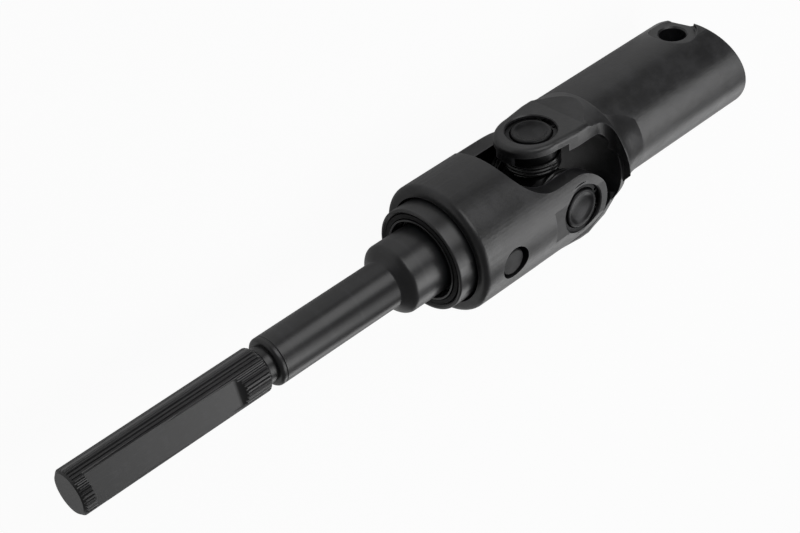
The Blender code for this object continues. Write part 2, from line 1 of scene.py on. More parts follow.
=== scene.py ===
"""Looks of the steering shaft: modelled pieces, their finishes, studio light, floor and camera."""
import math

import bmesh
import bpy
from mathutils import Matrix, Vector


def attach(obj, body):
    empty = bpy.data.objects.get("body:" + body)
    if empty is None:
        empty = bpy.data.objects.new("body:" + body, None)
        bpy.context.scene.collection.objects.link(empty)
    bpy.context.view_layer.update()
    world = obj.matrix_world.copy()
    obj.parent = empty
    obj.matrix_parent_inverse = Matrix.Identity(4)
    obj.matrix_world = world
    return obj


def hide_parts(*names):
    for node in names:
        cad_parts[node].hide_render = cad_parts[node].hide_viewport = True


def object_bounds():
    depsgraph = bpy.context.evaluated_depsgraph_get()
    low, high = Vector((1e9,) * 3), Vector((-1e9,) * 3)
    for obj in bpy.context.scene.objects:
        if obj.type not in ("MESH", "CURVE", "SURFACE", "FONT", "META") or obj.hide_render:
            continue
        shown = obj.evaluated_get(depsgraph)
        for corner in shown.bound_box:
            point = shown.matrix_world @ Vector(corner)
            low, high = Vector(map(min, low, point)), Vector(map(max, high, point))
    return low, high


MM = 0.001
FIT = 0.3 * MM              # gap between pieces that seat on each other
FINE = 120                  # steps round a large turned form
PLAIN = 72
SMALL = 40
COARSE = 16
THROUGH = 30.0 * MM         # reach of a cutter that passes right through
SEAM_TURN = math.radians(0.8)  # keeps seams of turned forms off the planes of symmetry
TINY = 1e-6                 # points closer than this are one
CREASE = math.radians(31.0)    # edges that turn more than this stay sharp
FLAT_AREA = 12.0 * MM * MM     # larger many-sided faces are shaded flat

# Clamp hub and fork, measured from the joint's centre
JOINT_X = 176.06 * MM
EAR_FACE = 20.3 * MM        # flat outer face of each ear
EAR_EDGE = 1.5 * MM         # forged round along the ear's outline
EAR_TIP = 12.3 * MM         # reach of the ear beyond its pin
EAR_HALF = 10.7 * MM
WEB_X = 8.0 * MM            # the web is widest from here on
WEB_HALF = 11.7 * MM
FLARE = 3.9 * MM            # hollow round from the web out to the rim
INNER_FACE = 14.9 * MM      # inner side of each ear
FACING_RADIUS = 12.1 * MM   # round recess inside each ear, about its pin
FACING_HEIGHT = 17.4 * MM
BLANK_RADIUS = 24.2 * MM    # turned blank over the ears
BLANK_HALF = 26.0 * MM      # half width of the fork before it is trimmed to the blank
BLANK_REACH = 15.0 * MM
BLANK_NECK_X = 14.0 * MM
BLANK_NECK = 22.3 * MM
FLOOR_X = 20.1 * MM
FLOOR_CORNER = 5.0 * MM
POCKET_DEPTH = 2.2 * MM
POCKET_SIDE = ((10.4, 0.0), (10.2, 8.4), (6.3, 18.1), (3.6, 25.0))  # y and z in mm
RIM_FRONT = 20.8 * MM
RIM_X = 21.6 * MM           # back of the rim
RIM_RADIUS = 21.3 * MM
RIM_ROUND = 0.6 * MM
RIM_SLOPE = 1.7
RELIEF_Y = -5.3 * MM        # corner of the slanted relief on the rim's back
RELIEF_Z = 15.5 * MM
RELIEF_LOW = 23.0           # slopes of its two faces, degrees
RELIEF_STEEP = 40.5
RELIEF_TURN = 12.0
FILLET_RADIUS = 17.4 * MM   # hollow behind the rim, at its front
FILLET = ((22.0, 17.2), (23.9, 16.7), (25.0, 16.0), (26.2, 15.35), (27.9, 14.75), (30.0, 14.45),
          (32.0, 14.1), (34.0, 13.75), (36.5, 13.2))  # x and radius in mm
TUBE_RADIUS = 17.84 * MM
TUBE_DROP = 5.78 * MM       # axis of the hub below the axis of the joint
TUBE_START = 20.9 * MM
TUBE_ROUND = 2.0 * MM
HUB_END_X = 263.2 * MM
END_SLOPE_Y = -0.229
END_SLOPE_Z = 0.247
END_EDGE = 0.5 * MM
HUB_BORE = 7.2 * MM
HUB_BORE_START = 28.0 * MM
BOLT_X = 251.0 * MM
BOLT_DROP = 6.6 * MM
BOLT_HOLE = 4.45 * MM
BOLT_EDGE = 0.6 * MM
SPOT_RADIUS = 7.9 * MM
SPOT_FACE = 15.94 * MM      # seat of the bolt's head
SPOT_EDGE = 0.4 * MM
SLIT_WIDTH = 2.6 * MM
SLIT_LENGTH = 30.0 * MM
PAST_END = 20.0 * MM        # cutters run out this far beyond the hub's end

# Bearings, heights measured from the joint's centre
EAR_BORE = 8.0 * MM
CAP_RADIUS = EAR_BORE - FIT
CAP_OPEN = 9.6 * MM         # open end of a bearing cap
CAP_BORE = 6.8 * MM
CAP_FLOOR = 1.6 * MM
CAP_SEAT = 17.5 * MM        # shoulder that the snap ring bears on
CAP_TOP = 19.8 * MM
CAP_DISH = 0.85 * MM
CAP_ROUND = 0.6 * MM
GROOVE = 0.7 * MM
RING_THICK = 1.2 * MM
RING_OUTER = EAR_BORE + GROOVE - FIT
RING_INNER = 6.6 * MM
RING_GAP = 34.0             # degrees left open between the ring's ends
RING_STEPS = 64
RING_LUG = 0.35 * MM        # how much wider the ring is at its ends
RING_HOLE = 0.55 * MM
RING_HOLE_TURN = 8.0        # degrees from the ring's end to its pliers hole
SEAL_START = 8.3 * MM
SEAL_END = 12.4 * MM
SEAL_RADIUS = 8.8 * MM
SEAL_LIP = 0.55 * MM
SEAL_RIB = 0.45 * MM
SEAL_RIB_START = 2.0        # first rib behind the seal's start, mm
SEAL_RIB_STEP = 1.25
ARM_RADIUS = 6.6 * MM
ARM_LENGTH = 9.3 * MM
TRUNNION_RADIUS = 4.6 * MM
TRUNNION_END = 14.3 * MM
CROSS_CORE = 7.6 * MM
CROSS_ROUND = 2.4 * MM
CORE_HALF = 6.2 * MM

# Cup and coupling, along the shaft
CUP_START = 133.15 * MM
CUP_RADIUS = 21.0 * MM
CUP_SEAT = 17.0 * MM        # bore of the cup, round the sleeve
CUP_LIP = 2.0 * MM          # rounded mouth, along the shaft
CUP_LIP_DROP = 2.3 * MM
CUP_STEP = 0.5 * MM
CUP_FLAT = 12.6 * MM        # the ear's flat starts this far behind its pin
CUP_FLAT_REACH = 40.0 * MM
CUP_NARROW = 10.8 * MM      # ear beside its pin, on its narrow side
CUP_WIDE = 13.0 * MM
SADDLE_X = 153.9 * MM
SADDLE_ROUND = 13.9 * MM
SADDLE_REACH = 28.0 * MM
PIN_X = 145.4 * MM
PIN_RADIUS = 4.4 * MM
PIN_TURN = 6.0              # degrees from +Z about the shaft
PIN_REACH = 20.05 * MM
WINDOW_RADIUS = 5.35 * MM   # holes with play round the pin
WINDOW_X = 145.75 * MM
SLEEVE_START = 126.9 * MM
SLEEVE_END = 152.0 * MM
SLEEVE_RADIUS = 16.7 * MM
SLEEVE_BORE = 15.2 * MM
SLEEVE_EDGE = 0.6 * MM
INNER_BORE = 12.6 * MM
INNER_WALL = 0.7 * MM
INNER_EDGE = 0.15 * MM

# Shaft
BAR_RADIUS = 7.0 * MM
BAR_LENGTH = 64.3 * MM
BAR_CHAMFER = 0.9 * MM
BAR_TAPER = 1.2 * MM
TOOTH_DEPTH = 0.5 * MM
TOOTH_COUNT = 36
TOOTH_STEPS = 8             # outline points for each tooth
TOOTH_FLANK = 0.9           # above 0.5 the teeth have flat tips and roots
FLAT_START = 4.0 * MM
FLAT_END = 55.5 * MM
FLAT_LOW = 4.1 * MM         # flat to axis near the tip, where it is cut deepest
FLAT_HIGH = 5.2 * MM
FLAT_TURN = -12.0           # degrees about the shaft
FLAT_REACH = 12.0 * MM
CUTTER_RADIUS = 3.0 * MM
NECK_RADIUS = 5.7 * MM
NECK_END = 66.6 * MM
NECK_OVERLAP = 2.0 * MM     # the neck's root inside the serrated bar
SHAFT_RADIUS = 7.55 * MM
SHOULDER_ROUND = 1.2 * MM
LINE_X = 1.92 * MM          # fine turned line behind the neck's end
LINE_DEPTH = 0.2 * MM
COLLAR_STEPS = 14
COLLAR_START = 111.5 * MM
COLLAR_END = 115.7 * MM
COLLAR_RADIUS = 11.2 * MM
HEAD_START = 131.5 * MM
HEAD_RADIUS = 12.3 * MM
HEAD_CHAMFER = 1.0 * MM

# Stage
FLOOR_GAP = 0.2 * MM
PART_MIDDLE = (0.13, 0.0, 0.0)


class Value:
    """A number that varies over a surface: Python operators add its Math nodes."""

    def __init__(self, finish, socket):
        self.finish = finish
        self.socket = socket

    def joined(self, operation, *others):
        made = self.finish.node("Math", {"operation": operation}, {
            index: item.socket if isinstance(item, Value) else item
            for index, item in enumerate(others)})
        return made.value(0)

    def __add__(self, other):
        return self.joined("ADD", self, other)

    def __radd__(self, other):
        return self.joined("ADD", other, self)

    def __rsub__(self, other):
        return self.joined("SUBTRACT", other, self)

    def __mul__(self, other):
        return self.joined("MULTIPLY", self, other)

    def __rmul__(self, other):
        return self.joined("MULTIPLY", other, self)

    def __pow__(self, other):
        return self.joined("POWER", self, other)

    def smaller(self, other):
        return self.joined("MINIMUM", self, other)

    def ramp(self, low, high):
        """0 below low, 1 above high and smooth between them."""
        made = self.finish.node("MapRange", {"interpolation_type": "SMOOTHSTEP"},
                                {"Value": self, "From Min": low, "From Max": high})
        return made.value("Result")


class Node:
    """A shader node whose outputs are handed on by name or number."""

    def __init__(self, finish, made):
        self.finish = finish
        self.made = made

    def value(self, name=0):
        return Value(self.finish, self.made.outputs[name])

    def out(self, name=0):
        return self.made.outputs[name]


class Finish:
    """One procedural material, read on Object coordinates."""

    def __init__(self, name):
        self.material = bpy.data.materials.new(name)
        self.material.use_nodes = True
        self.tree = self.material.node_tree
        self.shader = self.tree.nodes["Principled BSDF"]
        self.place = self.node("TexCoord").out("Object")

    def node(self, kind, settings=None, inputs=None):
        made = self.tree.nodes.new("ShaderNode" + kind)
        for key, setting in (settings or {}).items():
            setattr(made, key, setting)
        for key, item in (inputs or {}).items():
            socket = item.socket if isinstance(item, Value) else item
            if isinstance(socket, bpy.types.NodeSocket):
                self.tree.links.new(socket, made.inputs[key])
            else:
                made.inputs[key].default_value = socket
        return Node(self, made)

    def noise(self, scale, detail=3.0, roughness=0.55):
        return self.node("TexNoise", None, {
            "Vector": self.place, "Scale": scale, "Detail": detail,
            "Roughness": roughness}).value("Fac")

    def colours(self, factor, first, second):
        """Blend two plain colours by a factor."""
        mix = self.node("Mix", {"data_type": "RGBA"}, {"Factor": factor}).made
        slots = [socket for socket in mix.inputs if socket.type == "RGBA"]
        for socket, colour in zip(slots, (first, second)):
            socket.default_value = (*colour, 1.0)
        return next(socket for socket in mix.outputs if socket.type == "RGBA")

    def edges(self, radius):
        """How sharply the surface turns within a radius, 0 on a plain stretch."""
        rounded = self.node("Bevel", {"samples": 6}, {"Radius": radius}).out()
        flat = self.node("NewGeometry").out("Normal")
        product = self.node("VectorMath", {"operation": "DOT_PRODUCT"}, {0: rounded, 1: flat})
        return 1.0 - product.value("Value")

    def bump(self, height, distance):
        return self.node("Bump", None, {
            "Height": height, "Distance": distance, "Strength": 1.0}).out()

    def wear(self, **sockets):
        """Set or link the shader's sockets, named with underscores, and hand on the material."""
        for key, item in sockets.items():
            name = key.replace("_", " ")
            socket = item.socket if isinstance(item, Value) else item
            if isinstance(socket, bpy.types.NodeSocket):
                self.tree.links.new(socket, self.shader.inputs[name])
            else:
                self.shader.inputs[name].default_value = socket
        return self.material


def arc(centre, radius, first, last, steps):
    """Points on an arc in a plane, angles in degrees."""
    points = []
    for step in range(steps + 1):
        angle = math.radians(first + (last - first) * step / steps)
        points.append((centre[0] + radius * math.cos(angle), centre[1] + radius * math.sin(angle)))
    return points


def mirrored(half):
    """Close a half outline with its own reflection."""
    return half + [(a, -b) for a, b in reversed(half)]


def both_ways(half):
    """A turned outline that is the same towards both ends of its axis."""
    return [(-a, b) for a, b in reversed(half)] + half


def turned(profile, steps=PLAIN):
    """A solid spun about X from a closed outline of (x, radius) points."""
    bm = bmesh.new()
    corners = [bm.verts.new((x, 0.0, radius)) for x, radius in profile]
    edges = []
    for first, second in zip(corners, corners[1:] + corners[:1]):
        on_axis = max(first.co.z, second.co.z) < 0.1 * TINY
        if not on_axis:
            edges.append(bm.edges.new((first, second)))
    bmesh.ops.spin(bm, geom=corners + edges, cent=(0, 0, 0), axis=(1, 0, 0), angle=2 * math.pi,
                   steps=steps, use_merge=True)
    bmesh.ops.remove_doubles(bm, verts=bm.verts, dist=TINY)
    bmesh.ops.rotate(bm, verts=bm.verts, cent=(0, 0, 0), matrix=Matrix.Rotation(SEAM_TURN, 3, "X"))
    bmesh.ops.recalc_face_normals(bm, faces=bm.faces)
    return bm


def rod(radius, low, high, steps=PLAIN):
    """A plain round bar along X."""
    return turned([(low, 0.0), (low, radius), (high, radius), (high, 0.0)], steps)


def extruded(outline, low, high, axis):
    """A flat outline carried along one axis; its points are the other two coordinates."""
    bm = bmesh.new()
    column = "xyz".index(axis)
    corners = []
    for a, b in outline:
        place = [a, b]
        place.insert(column, low)
        corners.append(bm.verts.new(place))
    face = bm.faces.new(corners)
    way = [0.0, 0.0, 0.0]
    way[column] = high - low
    return grown(bm, [face], way)


def grown(bm, faces, way):
    """Pull flat faces out into a solid."""
    pulled = bmesh.ops.extrude_face_region(bm, geom=faces)
    far = [item for item in pulled["geom"] if isinstance(item, bmesh.types.BMVert)]
    bmesh.ops.translate(bm, verts=far, vec=way)
    bmesh.ops.recalc_face_normals(bm, faces=bm.faces)
    return bm


def moved(bm, matrix):
    """Turn and shift a whole form."""
    bmesh.ops.transform(bm, matrix=matrix, verts=bm.verts, space=Matrix.Identity(4))
    return bm


def split(bm, place, normal):
    """Divide the faces that cross a plane, so that none of them surrounds a bore."""
    everything = bm.verts[:] + bm.edges[:] + bm.faces[:]
    bmesh.ops.bisect_plane(bm, geom=everything, plane_co=place, plane_no=normal, dist=0.1 * TINY)


def carved(bm, tool, operation="DIFFERENCE"):
    """Cut a solid with another one, or join or trim it."""
    things = []
    for form in (bm, tool):
        mesh = bpy.data.meshes.new("form")
        form.to_mesh(mesh)
        form.free()
        thing = bpy.data.objects.new("form", mesh)
        bpy.context.scene.collection.objects.link(thing)
        things.append(thing)
    change = things[0].modifiers.new("change", "BOOLEAN")
    change.operation = operation
    change.solver = "EXACT"
    change.object = things[1]
    bpy.context.view_layer.update()
    graph = bpy.context.evaluated_depsgraph_get()
    mesh = bpy.data.meshes.new_from_object(things[0].evaluated_get(graph))
    result = bmesh.new()
    result.from_mesh(mesh)
    bpy.data.meshes.remove(mesh)
    for thing in things:
        form = thing.data
        bpy.data.objects.remove(thing, do_unlink=True)
        bpy.data.meshes.remove(form)
    bmesh.ops.remove_doubles(result, verts=result.verts, dist=TINY)
    return result


def outward(direction):
    """Turn local +X to a pin's direction, with local +Z towards the hub."""
    way = Vector(direction)
    hub_side = Vector((1.0, 0.0, 0.0))
    return Matrix((way, hub_side.cross(way), hub_side)).transposed().to_4x4()


def at_joint(direction):
    """From a pin's own axis to its place in the joint."""
    return Matrix.Translation((JOINT_X, 0.0, 0.0)) @ outward(direction)


def across_shaft(x):
    """From its own axis to the limit pin's place across the shaft."""
    turn = Matrix.Rotation(math.radians(PIN_TURN), 4, "X")
    return Matrix.Translation((x, 0.0, 0.0)) @ turn @ outward((0.0, 0.0, 1.0))


def pin_drill(radius, x=PIN_X):
    """Round cutter along the limit pin."""
    return moved(rod(radius, -THROUGH, THROUGH, SMALL), across_shaft(x))


def add_piece(name, bm, finish, body, slot, *nodes):
    """Put a finished form in the scene, on its body, in place of its plain node."""
    bmesh.ops.recalc_face_normals(bm, faces=bm.faces)
    mesh = bpy.data.meshes.new(name)
    bm.to_mesh(mesh)
    bm.free()
    mesh.shade_smooth()
    mesh.set_sharp_from_angle(angle=CREASE)
    for face in mesh.polygons:
        if face.area > FLAT_AREA and len(face.vertices) > 4:
            face.use_smooth = False
    mesh.materials.append(finish)
    piece = bpy.data.objects.new(name, mesh)
    bpy.context.scene.collection.objects.link(piece)
    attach(piece, body)
    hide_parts(*nodes)


# Clamp hub and fork

def ear_side():
    """Outline of the fork seen along its pins: round ears on a web that flares out to the rim."""
    ear = arc((0.0, 0.0), 1.0, 180, 90, 18)[1:]
    half = [(x * EAR_TIP, z * EAR_HALF) for x, z in ear]
    half.append((WEB_X, WEB_HALF))
    half += arc((RIM_FRONT - FLARE, WEB_HALF + FLARE), FLARE, 270, 360, 10)
    half += [(RIM_FRONT, BLANK_HALF), (FLOOR_X + BLANK_REACH, BLANK_HALF)]
    return [(-EAR_TIP, 0.0)] + mirrored(half)


def fork_form():
    """The fork's outline along its pins, with forged edges and ears that rise to the rim."""
    rise_x = EAR_TIP
    bm = extruded(ear_side(), -EAR_FACE, EAR_FACE, "y")
    split(bm, (rise_x, 0.0, 0.0), (1.0, 0.0, 0.0))
    slope = (RIM_RADIUS + FIT - EAR_FACE) / (FLOOR_X - rise_x)
    for vert in bm.verts:
        if vert.co.x > rise_x:
            vert.co.y += math.copysign((vert.co.x - rise_x) * slope, vert.co.y)
    edges = []
    for edge in bm.edges:
        on_face = min(abs(vert.co.y) for vert in edge.verts) > EAR_FACE - TINY
        before_rim = max(vert.co.x for vert in edge.verts) < RIM_FRONT + TINY
        if on_face and before_rim and edge.calc_face_angle(0.0) > 0.5:
            edges.append(edge)
    bmesh.ops.bevel(bm, geom=edges, offset=EAR_EDGE, segments=6, profile=0.5,
                    affect="EDGES", material=-1)
    return bm


def fork_blank():
    """Turned blank of the fork with the worn outer edge of its rim."""
    front = -1.2 * EAR_TIP
    back = RIM_X + (RIM_RADIUS - TUBE_RADIUS / 2) / RIM_SLOPE
    outline = [(front, 0.0), (front, BLANK_RADIUS), (WEB_X, BLANK_RADIUS)]
    outline += [(BLANK_NECK_X, BLANK_NECK), (RIM_X - 0.9 * MM, RIM_RADIUS)]
    outline += arc((RIM_X - 0.5 * MM, RIM_RADIUS - RIM_ROUND), RIM_ROUND, 75, 15, 4)
    outline += [(back, TUBE_RADIUS / 2), (back, 0.0)]
    return turned(outline, FINE)


def fork_slot():
    """Space between the ears, with a rounded corner at each side of its floor."""
    half = [(-2 * EAR_TIP, INNER_FACE)]
    half += arc((FLOOR_X - FLOOR_CORNER, INNER_FACE - FLOOR_CORNER), FLOOR_CORNER, 90, 0, 10)
    return extruded(mirrored(half), -THROUGH, THROUGH, "z")


def floor_pocket():
    """Shallow pocket in the fork's floor, narrower towards the rim."""
    upper = [(y * MM, z * MM) for y, z in POCKET_SIDE]
    side = [(y, -z) for y, z in reversed(upper[1:])] + upper
    outline = side + [(-y, z) for y, z in reversed(side)]
    return extruded(outline, FLOOR_X - 1.0 * MM, FLOOR_X + POCKET_DEPTH, "x")


def rim_relief():
    """A slanted wedge that clears the rim's corner beside the cup's ear."""
    wide = 1.5 * THROUGH
    low = math.radians(RELIEF_LOW)
    steep = math.radians(RELIEF_STEEP)
    outline = [(-wide * math.cos(low), -wide * math.sin(low)), (0.0, 0.0)]
    outline += [(wide * math.cos(steep), wide * math.sin(steep)), (-wide * math.cos(low), wide)]
    wedge = extruded(outline, -wide / 2, wide / 2, "x")
    turn = Matrix.Rotation(math.radians(RELIEF_TURN), 4, "Y")
    return moved(wedge, Matrix.Translation((RIM_X, RELIEF_Y, RELIEF_Z)) @ turn)


def rim_fillet():
    """The hollow run of metal from the back of the rim down to the hub."""
    outline = [(RIM_FRONT, 0.0), (RIM_FRONT, FILLET_RADIUS)]
    outline += [(x * MM, radius * MM) for x, radius in FILLET]
    outline.append((FILLET[-1][0] * MM, 0.0))
    return turned(outline, FINE)


def ear_drill():
    """Bore through a pair of ears, with ring grooves and broken edges at the mouths."""
    groove_end = CAP_SEAT + RING_THICK + 2 * FIT
    mouth = EAR_BORE + 0.4 * MM
    half = [(CAP_SEAT, EAR_BORE), (CAP_SEAT, EAR_BORE + GROOVE), (groove_end, EAR_BORE + GROOVE)]
    half += [(groove_end, EAR_BORE), (EAR_FACE - 0.35 * MM, EAR_BORE), (EAR_FACE + 0.1 * MM, mouth)]
    half += [(THROUGH, mouth), (THROUGH, 0.0)]
    return turned(both_ways(half), PLAIN)


def hub_tube():
    """The thick hub on its own axis, cut off slanted, with broken edges."""
    length = HUB_END_X - JOINT_X
    shoulder = (TUBE_START + TUBE_ROUND, TUBE_RADIUS - TUBE_ROUND)
    outline = [(TUBE_START, 0.0), (TUBE_START, TUBE_RADIUS - TUBE_ROUND)]
    outline += arc(shoulder, TUBE_ROUND, 180, 90, 6)[1:]
    outline += [(length + TUBE_RADIUS, TUBE_RADIUS), (length + TUBE_RADIUS, 0.0)]
    bm = moved(turned(outline, FINE), Matrix.Translation((0.0, 0.0, -TUBE_DROP)))
    everything = bm.verts[:] + bm.edges[:] + bm.faces[:]
    normal = Vector((1.0, -END_SLOPE_Y, -END_SLOPE_Z)).normalized()
    bmesh.ops.bisect_plane(bm, geom=everything, plane_co=(length, 0, 0), plane_no=normal,
                           clear_outer=True)
    filled = bmesh.ops.holes_fill(bm, edges=bm.edges[:], sides=0)
    end = filled["faces"][0]
    bmesh.ops.bevel(bm, geom=list(end.edges), offset=END_EDGE, segments=3, profile=0.5,
                    affect="EDGES", material=-1)
    bmesh.ops.recalc_face_normals(bm, faces=bm.faces)
    return bm


def toothed(root, tip, count, low, high):
    """A bar along X with straight teeth."""
    bm = bmesh.new()
    bmesh.ops.create_circle(bm, segments=TOOTH_STEPS * count, radius=tip, cap_ends=True)
    for vert in bm.verts:
        phase = math.atan2(vert.co.y, vert.co.x) * count
        height = min(1.0, max(0.0, 0.5 + TOOTH_FLANK * math.cos(phase)))
        vert.co *= (root + height * (tip - root)) / tip
    moved(bm, Matrix.Translation((low, 0.0, 0.0)) @ Matrix.Rotation(math.radians(90), 4, "Y"))
    return grown(bm, bm.faces[:], (high - low, 0.0, 0.0))


def bolt_hole():
    """Cross hole for the clamp bolt, with broken edges."""
    half = [(SPOT_FACE - 0.5 * MM, BOLT_HOLE), (SPOT_FACE + 0.1 * MM, BOLT_HOLE + BOLT_EDGE)]
    half += [(THROUGH, BOLT_HOLE + BOLT_EDGE), (THROUGH, 0.0)]
    return turned(both_ways(half), SMALL)


def spot_face():
    """Round seat for the bolt's head."""
    outline = [(SPOT_FACE, 0.0), (SPOT_FACE, SPOT_RADIUS - SPOT_EDGE)]
    outline += [(SPOT_FACE + SPOT_EDGE, SPOT_RADIUS), (THROUGH, SPOT_RADIUS), (THROUGH, 0.0)]
    return turned(outline, PLAIN)


def clamp_slit(length):
    """Slit that lets the bolt close the hub on its shaft."""
    outline = [(length - SLIT_LENGTH, -SLIT_WIDTH / 2), (length + PAST_END, -SLIT_WIDTH / 2),
               (length + PAST_END, SLIT_WIDTH / 2), (length - SLIT_LENGTH, SLIT_WIDTH / 2)]
    return extruded(outline, -THROUGH, -HUB_BORE / 2, "z")


def hub_forging():
    """Fork, rim and eccentric clamp hub in one piece, with all that is cut into it."""
    pins = outward((0.0, 1.0, 0.0))
    bm = carved(fork_form(), fork_blank(), "INTERSECT")
    bm = carved(bm, fork_slot())
    bm = carved(bm, floor_pocket())
    bm = carved(bm, moved(rod(FACING_RADIUS, -FACING_HEIGHT, FACING_HEIGHT, FINE), pins))
    bm = carved(bm, rim_relief())
    bm = carved(bm, rim_fillet(), "UNION")
    bm = carved(bm, hub_tube(), "UNION")
    beside = 0.1 * MM
    split(bm, (beside, 0.0, 0.0), (1.0, 0.0, 0.0))
    split(bm, (0.0, 0.0, beside), (0.0, 0.0, 1.0))
    bm = carved(bm, moved(ear_drill(), pins))
    length = HUB_END_X - JOINT_X
    root = HUB_BORE - 0.35 * MM
    tip = HUB_BORE + 0.15 * MM
    bm = carved(bm, toothed(root, tip, TOOTH_COUNT, HUB_BORE_START, length + PAST_END))
    bolt = Matrix.Translation((BOLT_X - JOINT_X, 0.0, -BOLT_DROP)) @ pins
    bm = carved(bm, moved(bolt_hole(), bolt))
    bm = carved(bm, moved(spot_face(), bolt))
    bm = carved(bm, clamp_slit(length))
    return moved(bm, Matrix.Translation((JOINT_X, 0.0, 0.0)))


# Cup yoke

def saddle_side(half_width):
    """One side of the saddle, from far outside down to an ear of this half width."""
    centre = (SADDLE_X + SADDLE_ROUND, CUP_NARROW + SADDLE_ROUND)
    side = [(SADDLE_X, SADDLE_REACH)] + arc(centre, SADDLE_ROUND, 180, 270, 24)
    return [(x, y) for x, y in side if y >= half_width]


def cup_notch(narrow):
    """Space beside one edge of an ear: its saddle, its edge and the room beyond its tip."""
    tip = JOINT_X + CUP_NARROW
    start = SADDLE_X + SADDLE_ROUND
    beyond = tip + 2 * CUP_NARROW
    if narrow:
        side = saddle_side(CUP_NARROW) + arc((JOINT_X, 0.0), CUP_NARROW, 90, 0, 20)
    else:
        ear = arc((0.0, 0.0), 1.0, 90, 0, 20)
        side = saddle_side(CUP_WIDE)
        side += [(start + x * (tip - start), y * CUP_WIDE) for x, y in ear]
    side += [(tip + FIT, -2 * FIT), (beyond, -2 * FIT), (beyond, SADDLE_REACH)]
    return extruded(side, 0.0, CUP_RADIUS + 2 * FIT, "z")


def cup_blank():
    """Turned cup with a rounded lip, up to the ears' tips."""
    end = JOINT_X + 2 * CUP_NARROW
    outline = [(CUP_START, CUP_SEAT + CUP_STEP), (CUP_START, CUP_RADIUS - CUP_LIP_DROP)]
    for x, r in arc((0.0, 0.0), 1.0, 180, 90, 8)[1:]:
        outline.append((CUP_START + CUP_LIP * (1 + x), CUP_RADIUS - CUP_LIP_DROP * (1 - r)))
    outline += [(end, CUP_RADIUS), (end, CUP_SEAT), (CUP_START + CUP_LIP + CUP_STEP, CUP_SEAT)]
    outline.append((CUP_START + CUP_LIP, CUP_SEAT + CUP_STEP))
    return turned(outline, FINE)


def ear_slab(side):
    """What is milled off outside one ear, which leaves a flat about its pin."""
    near, far = sorted((side * EAR_FACE, side * THROUGH))
    outline = [(near, -CUP_FLAT), (far, -CUP_FLAT), (far, CUP_FLAT_REACH), (near, CUP_FLAT_REACH)]
    slab = extruded(outline, -THROUGH, THROUGH, "y")
    split(slab, (0.0, 0.0, 0.0), (0.0, 1.0, 0.0))
    split(slab, (0.0, 0.0, 0.0), (0.0, 0.0, 1.0))
    return slab


def cup_forging():
    """Cup, saddle and two ears in one piece, each ear with a narrow and a wide side."""
    bm = cup_blank()
    for narrow, low_y, low_z in ((True, False, False), (False, True, False),
                                 (False, False, True), (True, True, True)):
        notch = cup_notch(narrow)
        if low_z:
            moved(notch, Matrix.Translation((0.0, 0.0, -CUP_RADIUS - 2 * FIT)))
        if low_y:
            moved(notch, Matrix.Scale(-1.0, 4, (0.0, 1.0, 0.0)))
            bmesh.ops.recalc_face_normals(notch, faces=notch.faces)
        bm = carved(bm, notch)
    pins = at_joint((0.0, 0.0, 1.0))
    for side in (1, -1):
        bm = carved(bm, moved(ear_slab(side), pins))
    bm = carved(bm, moved(ear_drill(), pins))
    return carved(bm, pin_drill(WINDOW_RADIUS, WINDOW_X))


# Joint pieces, each on its own pin axis along +X

def bearing_cap():
    """A drawn cap: open towards the joint, with a rounded boss that is dished outside."""
    edge = 0.4 * MM
    rim = 0.3 * MM
    boss = RING_INNER - FIT
    dish = CAP_TOP - CAP_DISH
    outline = [(CAP_SEAT - CAP_FLOOR, 0.0), (CAP_SEAT - CAP_FLOOR, CAP_BORE), (CAP_OPEN, CAP_BORE)]
    outline += [(CAP_OPEN, CAP_RADIUS - edge), (CAP_OPEN + edge, CAP_RADIUS)]
    outline += arc((CAP_SEAT - rim, CAP_RADIUS - rim), rim, 90, 0, 3)
    outline += [(CAP_SEAT, boss + 0.15 * MM)]
    outline += arc((CAP_TOP - CAP_ROUND, boss - CAP_ROUND), CAP_ROUND, 90, 0, 5)
    outline += [(CAP_TOP, boss - 1.0 * MM), (CAP_TOP - 0.15 * MM, boss - 1.25 * MM)]
    outline += [(dish + 0.2 * MM, boss - 2.0 * MM), (dish, boss - 2.6 * MM), (dish, 0.0)]
    return turned(outline, FINE)


def snap_ring():
    """Internal snap ring with widened ends and a pliers hole in each."""
    start = CAP_SEAT + FIT
    end = start + RING_THICK
    first = 90 + RING_GAP / 2
    last = first + 360 - RING_GAP
    outline = arc((0.0, 0.0), RING_OUTER, first, last, RING_STEPS)
    for step, (y, z) in enumerate(arc((0.0, 0.0), 1.0, last, first, RING_STEPS)):
        share = step / RING_STEPS
        lug = max(0.0, 1.0 - min(share, 1.0 - share) / 0.06)
        inner = RING_INNER - RING_LUG * min(1.0, 2 * lug)
        outline.append((inner * y, inner * z))
    bm = extruded(outline, start, end, "x")
    middle = (RING_INNER + RING_OUTER) / 2 - 0.1 * MM
    for side in (1, -1):
        turn = math.radians(90 + side * (RING_GAP / 2 + RING_HOLE_TURN))
        punch = rod(RING_HOLE, start - RING_THICK, end + RING_THICK, COARSE)
        moved(punch, Matrix.Translation((0.0, middle * math.cos(turn), middle * math.sin(turn))))
        bm = carved(bm, punch)
    edges = [edge for edge in bm.edges if edge.calc_face_angle(0.0) > 0.8 and
             all(vert.co.x > end - TINY for vert in edge.verts)]
    bmesh.ops.bevel(bm, geom=edges, offset=0.08 * MM, segments=1, profile=0.5,
                    affect="EDGES", material=-1)
    return bm


